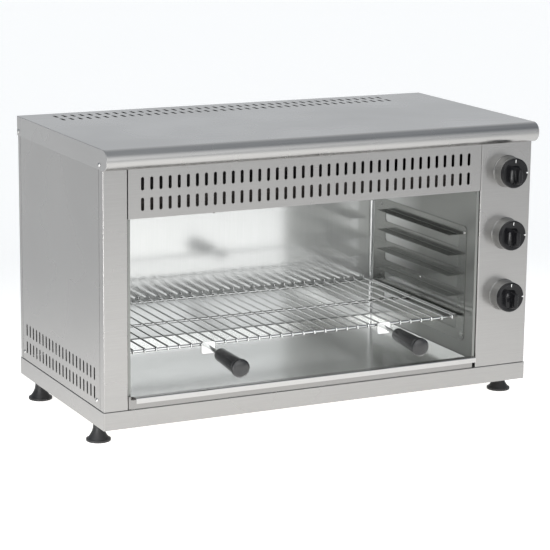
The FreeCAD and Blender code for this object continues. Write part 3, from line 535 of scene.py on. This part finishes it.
def softened(corners, bends):
    """Path through the corners with each inner one rounded. An arc touches both runs where it meets
    them, bend * tan(half the turn) from the corner, and its points turn evenly about its middle."""
    corners = np.array(corners, float)
    share = np.linspace(0, full, bend_steps)[:, None]
    parts = [corners[:1]]
    for before, corner, after, bend in zip(corners, corners[1:], corners[2:], bends):
        arriving = unit(corner - before)
        leaving = unit(after - corner)
        turn = np.arccos(np.clip(arriving @ leaving, -full, full))
        reach = bend * np.tan(turn / 2)
        middle = corner + unit(leaving - arriving) * bend / np.cos(turn / 2)
        first = corner - arriving * reach - middle
        last = corner + leaving * reach - middle
        arc = (np.sin((full - share) * turn) * first + np.sin(share * turn) * last) / np.sin(turn)
        parts.append(middle + arc)
    path = np.concatenate(parts + [corners[-1:]])
    moved = np.linalg.norm(np.diff(path, axis=0), axis=-1) > merge_reach
    return path[np.append(True, moved)]


def turned(profile, base, heading):
    """Rings of a turned shape: base + height * heading + radius * (cos a * side + sin a * other), where
    side and other lie across the heading and a goes round once."""
    angle = np.linspace(0, 2 * pi, around_wide, endpoint=False)[:, None]
    spoke = np.cos(angle) * rightward + np.sin(angle) * np.cross(heading, rightward)
    radius = profile[:, 0][:, None, None]
    height = profile[:, -1][:, None, None]
    return np.array(base) + height * heading + radius * spoke


def tube(path, half_width, half_thick, across, around):
    """Rings round a path in one plane: point + cos a * half_width * across + sin a * half_thick * over,
    where over is square to the path and to across. The two ends are bevelled and closed. Either half is
    a plain number, or one for each point of the path and for each ring that the ends add."""
    steps = unit(np.diff(path, axis=0))
    ways = unit(np.concatenate((steps[:1], steps[:-1] + steps[1:], steps[-1:])))
    bevel = np.mean(half_thick) * tip_share
    start, end = path[0] + ways[0] * bevel, path[-1] - ways[-1] * bevel
    path = np.concatenate((path[:1], path[:1], [start], path[1:-1], [end], path[-1:], path[-1:]))
    ways = ways[[0, 0, *range(len(ways)), -1, -1]]
    size = np.full(len(path), full)
    size[[0, -1]] = 0
    size[[1, -2]] = full - tip_share
    over = np.cross(ways, across)
    angle = np.linspace(0, 2 * pi, around, endpoint=False)[None, :, None]
    wide = np.cos(angle) * np.array(across) * (size * half_width)[:, None, None]
    high = np.sin(angle) * over[:, None, :] * (size * half_thick)[:, None, None]
    return path[:, None, :] + wide + high


def ring_tube(path, radius, across, around):
    """Rings round a closed path in one plane, the first ring repeated at the end to close it."""
    steps = unit(np.roll(path, -1, axis=0) - path)
    ways = unit(steps + np.roll(steps, 1, axis=0))
    over = np.cross(ways, across)
    angle = np.linspace(0, 2 * pi, around, endpoint=False)[None, :, None]
    spoke = np.cos(angle) * np.array(across) + np.sin(angle) * over[:, None, :]
    rings = path[:, None, :] + radius * spoke
    return np.concatenate((rings, rings[:1]))


def made(name, stacks, finish, body, slot, *nodes):
    """One piece from stacks of rings. Two neighbours on a ring and the two beside them on the next ring
    make a face, and points that fall together at a pole or a seam are merged."""
    faces = []
    count = 0
    for rings in stacks:
        number = np.arange(rings[..., 0].size).reshape(rings.shape[:2]) + count
        beside = np.roll(number, -1, axis=1)
        quads = np.stack((number[:-1], beside[:-1], beside[1:], number[1:]), axis=-1)
        faces.append(quads.reshape(-1, quads.shape[-1]))
        count += number.size
    points = np.concatenate([rings.reshape(-1, axes) for rings in stacks])
    mesh = bpy.data.meshes.new(name)
    mesh.from_pydata(points.tolist(), [], np.concatenate(faces).tolist())
    shape = bmesh.new()
    shape.from_mesh(mesh)
    bmesh.ops.remove_doubles(shape, verts=shape.verts, dist=merge_reach)
    bmesh.ops.recalc_face_normals(shape, faces=shape.faces)
    shape.to_mesh(mesh)
    shape.free()
    mesh.shade_smooth()
    mesh.set_sharp_from_angle(angle=radians(sharp_turn))
    mesh.materials.append(finish)
    piece = bpy.data.objects.new(name, mesh)
    bpy.context.scene.collection.objects.link(piece)
    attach(piece, body)
    if nodes:
        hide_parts(*nodes)
    return piece


# Knobs and bezels

def panel_seat(node):
    """Point on the panel's face behind the middle of a round node."""
    low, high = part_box(node)
    middle = (low + high) / 2
    return np.array((middle.x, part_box("control_panel")[0].y, middle.z))


def knob_outline(radius, root, back, face):
    """Radius and height of a knob: hub, disc with a bevelled rim, and a shallow bowl whose depth at a
    share s of its radius is dish * (1 - s ** bowl)."""
    mouth = radius - knob_bevel
    corners = [
        (0, root),
        (knob_hub, root),
        (knob_hub, back),
        (radius, back),
        (radius, face - knob_bevel),
        (mouth, face),
        (mouth - knob_soft, face),
    ]
    rim = softened(corners, (0, 0, knob_soft, knob_soft, knob_soft))
    share = np.linspace(full, 0, curve_steps)
    bowl = np.stack((share * corners[-1][0], face - knob_dish * (full - share ** knob_bowl)), axis=-1)
    return np.concatenate((rim[:-1], bowl))


def knob_bar(seat, face, ridge):
    """Rings of the bar. At a share s of its rise the width is ridge + (foot - ridge) * (1 - s) ** flare,
    and each ring is a superellipse: x = half width * cos a ** p, z = half length * sin a ** p, with
    p = 2 / square and the signs kept. The first ring closes the foot, and the last ones round the ridge
    off and close it."""
    share = np.linspace(0, full, curve_steps)
    foot = face - knob_dish - bar_sunk
    height = foot + (ridge - bar_soft - foot) * share
    wide = (bar_ridge_width + (bar_foot_width - bar_ridge_width) * (full - share) ** bar_flare) / 2
    top = bar_above - bar_slope * share
    bottom = bar_slope * share - bar_below
    turn = np.linspace(0, pi / 2, bend_steps)
    inset = bar_soft * (full - np.cos(turn))
    height = np.concatenate((height, ridge - bar_soft + bar_soft * np.sin(turn), [ridge]))
    wide = np.concatenate((wide, wide[-1] - inset, [0]))
    middle = (top[-1] + bottom[-1]) / 2
    top = np.concatenate((top, top[-1] - inset, [middle]))
    bottom = np.concatenate((bottom, bottom[-1] + inset, [middle]))
    wide, top, bottom, height = (np.append(row[:1], row) for row in (wide, top, bottom, height))
    wide[0] = 0
    top[0] = bottom[0] = (top[0] + bottom[0]) / 2
    angle = np.linspace(0, 2 * pi, around_wide, endpoint=False)
    across = np.sign(np.cos(angle)) * np.abs(np.cos(angle)) ** (2 / bar_square)
    along = np.sign(np.sin(angle)) * np.abs(np.sin(angle)) ** (2 / bar_square)
    x = wide[:, None] * across
    z = (top + bottom)[:, None] / 2 + (top - bottom)[:, None] / 2 * along
    y = np.broadcast_to(height[:, None], x.shape)
    return seat + x[..., None] * rightward + y[..., None] * forward + z[..., None] * upward


def printed_mark(seat, outline, start, end, widths, outward):
    """Thin raised print that follows a knob's bowl and rim from one radius to another, along outward, while
    its width goes evenly from the first of two widths to the other."""
    front = outline[-(curve_steps + rim_arcs * bend_steps):][::-1]
    radius = np.linspace(start, end, curve_steps)
    height = np.interp(radius, front[:, 0], front[:, -1])
    path = seat + radius[:, None] * outward + height[:, None] * forward
    half_width = np.interp(np.linspace(0, full, curve_steps + end_rings), (0, full), widths) / 2
    return tube(path, half_width, mark_thick / 2, np.cross(outward, forward), around_wire)


def knob(place):
    """Glossy black knob with its bar, its white pointer and the small white notch at its side."""
    node = "knob_" + place
    low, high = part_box(node)
    seat = panel_seat(node)
    back = seat[along_y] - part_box("bezel_" + place)[0].y + knob_gap
    face = back + knob_thick
    outline = knob_outline((high.x - low.x) / 2, seat[along_y] - high.y, back, face)
    dial = turned(outline, seat, forward)
    bar = knob_bar(seat, face, seat[along_y] - low.y)
    made(node + "_dial", [dial, bar], finishes["knob_plastic"], node, "knob_plastic", node)
    widths = (pointer_width, pointer_width)
    pointer = printed_mark(seat, outline, pointer_start, pointer_end, widths, upward)
    notch = printed_mark(seat, outline, notch_start, notch_end, (0, notch_width), rightward)
    made(node + "_marks", [pointer, notch], mark_print, node, "knob_plastic")


def bezel(place):
    """Grey cup behind a knob, with a foot band and a softly rounded mouth."""
    node = "bezel_" + place
    low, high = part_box(node)
    radius = (high.x - low.x) / 2
    depth = high.y - low.y
    mouth = radius - bezel_step - bezel_taper
    corners = [
        (bezel_bore, 0),
        (radius, 0),
        (radius, bezel_band),
        (radius - bezel_step, bezel_band + bezel_step),
        (mouth, depth),
        (mouth - bezel_wall, depth),
        (mouth - bezel_wall, bezel_floor),
        (bezel_bore, bezel_floor),
        (bezel_bore, 0),
    ]
    soft = bezel_soft
    outline = softened(corners, (0, soft, soft, soft, 0, 0, 0))
    made(node + "_cup", [turned(outline, panel_seat(node), forward)], finishes["bezel_metal"], "root",
         "bezel_metal", node)


# Handle grips and feet

def grip(side):
    """Black grip turned about its drooping rod: tapered body, groove, wider cap with a bevel and a dome."""
    bracket_low, bracket_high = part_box(side + "_handle_bracket")
    droop = radians(grip_droop)
    heading = np.array((0, -cos(droop), -sin(droop)))
    root = np.array((
        (bracket_low.x + bracket_high.x) / 2, bracket_high.y - plate_thick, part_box("rack_frame")[0].z
    ))
    neck = grip_length - grip_cap
    waist = grip_front - grip_groove
    face = grip_length - grip_dome
    corners = [
        (0, 0),
        (grip_back, 0),
        (grip_front, neck - 2 * grip_groove),
        (waist, neck - grip_groove),
        (waist, neck),
        (grip_cap_radius, neck),
        (grip_cap_radius, face - grip_bevel),
        (grip_cap_radius - grip_bevel, face),
        (0, grip_length),
    ]
    soft = grip_soft
    outline = softened(corners, (grip_end_soft, soft, 0, 0, soft, soft, 2 * soft))
    body = turned(outline, root + heading * grip_start, heading)
    made(side + "_grip_body", [body], finishes["grip_plastic"], "rack", "grip_plastic", side + "_grip")


def foot(place):
    """Moulded foot: rim band, narrow ledge, then a hollow cone whose radius falls as
    neck + (ledge - neck) * (1 - s) ** hollow, and a short neck."""
    node = "foot_pad_" + place
    low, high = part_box(node)
    middle = (low + high) / 2
    radius = (high.x - low.x) / 2
    height = high.z - low.z
    ledge = radius - foot_ledge
    rim = softened(
        [(0, 0), (radius, 0), (radius, foot_rim), (ledge, foot_rim + foot_step / 2),
         (ledge - foot_step, foot_rim + 2 * foot_step)],
        (foot_soft, foot_soft, 0),
    )
    share = np.linspace(0, full, curve_steps)
    start = rim[-1]
    cone_radius = foot_neck + (start[0] - foot_neck) * (full - share) ** foot_hollow
    cone_height = start[-1] + (height - foot_collar - start[-1]) * share
    cone = np.stack((cone_radius, cone_height), axis=-1)
    outline = np.concatenate((rim[:-1], cone, [(foot_neck, height), (0, height)]))
    base = np.array((middle.x, middle.y, low.z))
    made(node + "_mould", [turned(outline, base, upward)], finishes["foot_plastic"], "foot_" + place,
         "foot_plastic", node)


# Rack and heating elements

def rack_rails():
    """Thick wire bent into a closed loop with round corners, and the straight cross rail. Both are a
    hair thinner than the frame's box, so they slide clear of the runners."""
    low, high = (np.array(corner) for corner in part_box("rack_frame"))
    radius = (high[along_z] - low[along_z]) / 2
    left, front, _ = low + radius
    right, back, level = high - radius
    middle = (front + back) / 2
    corners = [
        (left, middle, level), (left, front, level), (right, front, level), (right, back, level),
        (left, back, level), (left, middle, level),
    ]
    loop = softened(corners, [rail_bend] * (len(corners) - 2))[:-1]
    rail_y = front + (back - front) * cross_rail_share
    rail = np.array([(left, rail_y, level), (right, rail_y, level)])
    radius -= rail_play
    stacks = [
        ring_tube(loop, radius, upward, around_rod),
        tube(rail, radius, radius, upward, around_rod),
    ]
    made("rack_rails", stacks, finishes["rack_chrome"], "rack", "rack_chrome", "rack_frame")


def rack_grid():
    """The thin wires, one shape repeated from left to right: each turns down in front and up behind."""
    low, high = (np.array(corner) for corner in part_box("rack_wires"))
    first, front, _ = low + wire_radius
    last, back, _ = high - wire_radius
    foot, head = low[along_z], high[along_z]
    level = (foot + head) / 2
    corners = [(first, front, foot), (first, front, level), (first, back, level), (first, back, head)]
    path = softened(corners, [wire_bend] * 2)
    wire = tube(path, wire_radius, wire_radius, rightward, around_wire)
    shifts = np.linspace(0, last - first, wire_count)
    made("rack_grid", [wire + shift * rightward for shift in shifts], finishes["rack_chrome"], "rack",
         "rack_chrome", "rack_wires")


def heating_element(place):
    """Hairpin tube: two legs joined by a half turn."""
    node = "heating_element_" + place
    low, high = (np.array(corner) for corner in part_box(node))
    tip, front, _ = low + element_radius
    _, back, level = high - element_radius
    end = high[along_x]
    bend = (back - front) / 2
    corners = [(end, front, level), (tip, front, level), (tip, back, level), (end, back, level)]
    path = softened(corners, [bend] * 2)
    hairpin = tube(path, element_radius, element_radius, upward, around_rod)
    made(node + "_tube", [hairpin], finishes["element_steel"], "root", "element_steel", node)


# Studio

def studio_floor():
    """Wide pale floor under the feet, glowing of itself as a lit paper sweep looks, with a painted pool of
    light brightest in front of the casing's left end."""
    reach = floor_reach
    corners = [(-reach, -reach, 0), (reach, -reach, 0), (reach, reach, 0), (-reach, reach, 0)]
    mesh = bpy.data.meshes.new("studio_floor")
    mesh.from_pydata(corners, [], [range(len(corners))])
    floor = bpy.data.objects.new("studio_floor", mesh)
    bpy.context.scene.collection.objects.link(floor)
    material, tree, shader = new_material("studio_floor")
    shader.inputs["Base Color"].default_value = floor_tone
    shader.inputs["Roughness"].default_value = floor_roughness
    shader.inputs["Emission Color"].default_value = pool_tone
    place = tree.nodes.new("ShaderNodeTexCoord")
    away = tree.nodes.new("ShaderNodeVectorMath")
    away.operation = "DISTANCE"
    left_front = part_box("front_post")[0]
    away.inputs[1].default_value = (left_front.x + pool_right, left_front.y - pool_ahead, 0)
    fade = tree.nodes.new("ShaderNodeMapRange")
    fade.interpolation_type = "SMOOTHSTEP"
    fade.inputs["From Max"].default_value = pool_radius
    fade.inputs["To Min"].default_value = glow_near
    fade.inputs["To Max"].default_value = glow_far
    tree.links.new(place.outputs["Object"], away.inputs[0])
    tree.links.new(away.outputs["Value"], fade.inputs["Value"])
    tree.links.new(fade.outputs["Result"], shader.inputs["Emission Strength"])
    mesh.materials.append(material)


def soft_light(tree, toward, core, edge, tone, strength):
    """Round soft light in the surroundings: full within its core and faded out at its edge."""
    place = tree.nodes.new("ShaderNodeTexCoord")
    nearness = tree.nodes.new("ShaderNodeVectorMath")
    nearness.operation = "DOT_PRODUCT"
    middle = tree.nodes.new("ShaderNodeCombineXYZ")
    for socket, amount in zip(middle.inputs, Vector(toward).normalized()):
        socket.default_value = amount
    fade = tree.nodes.new("ShaderNodeMapRange")
    fade.interpolation_type = "SMOOTHSTEP"
    fade.inputs["From Min"].default_value = cos(radians(edge))
    fade.inputs["From Max"].default_value = cos(radians(core))
    fade.inputs["To Max"].default_value = strength
    light = tree.nodes.new("ShaderNodeBackground")
    light.inputs["Color"].default_value = tone
    tree.links.new(place.outputs["Generated"], nearness.inputs[0])
    tree.links.new(middle.outputs["Vector"], nearness.inputs[1])
    tree.links.new(nearness.outputs["Value"], fade.inputs["Value"])
    tree.links.new(fade.outputs["Result"], light.inputs["Strength"])
    return light.outputs["Background"]


def studio_room():
    """Dim room with wide soft lights in front, behind on the right and overhead."""
    world = bpy.data.worlds.new("studio")
    bpy.context.scene.world = world
    world.use_nodes = True
    tree = world.node_tree
    room = tree.nodes["Background"]
    room.inputs["Color"].default_value = room_tone
    room.inputs["Strength"].default_value = room_strength
    total = room.outputs["Background"]
    for light in (
        soft_light(tree, front_light, front_core, front_edge, front_tone, front_strength),
        soft_light(tree, back_light, back_core, back_edge, back_tone, back_strength),
        soft_light(tree, top_light, top_core, top_edge, top_tone, top_strength),
    ):
        both = tree.nodes.new("ShaderNodeAddShader")
        tree.links.new(total, both.inputs[0])
        tree.links.new(light, both.inputs[1])
        total = both.outputs["Shader"]
    tree.links.new(total, tree.nodes["World Output"].inputs["Surface"])


def studio_sun():
    """One very soft light from above."""
    light = bpy.data.lights.new("soft_sun", "SUN")
    light.energy = sun_strength
    light.angle = radians(sun_spread)
    lamp = bpy.data.objects.new("soft_sun", light)
    turn = Matrix.Rotation(radians(sun_turn), axes + 1, "Z")
    lamp.matrix_world = turn @ Matrix.Rotation(radians(sun_tilt), axes + 1, "X")
    bpy.context.scene.collection.objects.link(lamp)


def side_light():
    """Narrow upright soft box beside the front corner, out of the picture on the left."""
    light = bpy.data.lights.new("side_light", "AREA")
    light.shape = "RECTANGLE"
    light.size = side_light_width
    light.size_y = side_light_height
    light.energy = side_light_power
    lamp = bpy.data.objects.new("side_light", light)
    turn = Matrix.Rotation(radians(side_light_turn), axes + 1, "Z")
    upright = Matrix.Rotation(pi / 2, axes + 1, "X")
    lamp.matrix_world = Matrix.Translation(side_light_place) @ turn @ upright
    lamp.visible_camera = False
    bpy.context.scene.collection.objects.link(lamp)


def photo_camera():
    """Camera at the photograph's viewpoint, measured from the front of the casing."""
    data = bpy.data.cameras.new("photo_camera")
    data.lens = camera_lens
    data.clip_start = camera_near
    data.clip_end = camera_far
    camera = bpy.data.objects.new("photo_camera", data)
    place = Matrix.Translation((-camera_left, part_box("front_post")[0].y - camera_ahead, camera_height))
    turn = Matrix.Rotation(radians(-camera_yaw), axes + 1, "Z")
    tilt = Matrix.Rotation(pi / 2 - radians(camera_pitch), axes + 1, "X")
    roll = Matrix.Rotation(radians(camera_roll), axes + 1, "Z")
    camera.matrix_world = place @ turn @ tilt @ roll
    bpy.context.scene.collection.objects.link(camera)
    bpy.context.scene.camera = camera


dress_nodes()
for place in ("upper", "middle", "lower"):
    knob(place)
    bezel(place)
for side in ("left", "right"):
    grip(side)
for place in ("front_left", "front_right", "back_left", "back_right"):
    foot(place)
rack_rails()
rack_grid()
for place in ("front", "middle", "rear"):
    heating_element(place)
studio_floor()
studio_room()
studio_sun()
side_light()
photo_camera()
bpy.context.scene.view_settings.view_transform = "Standard"
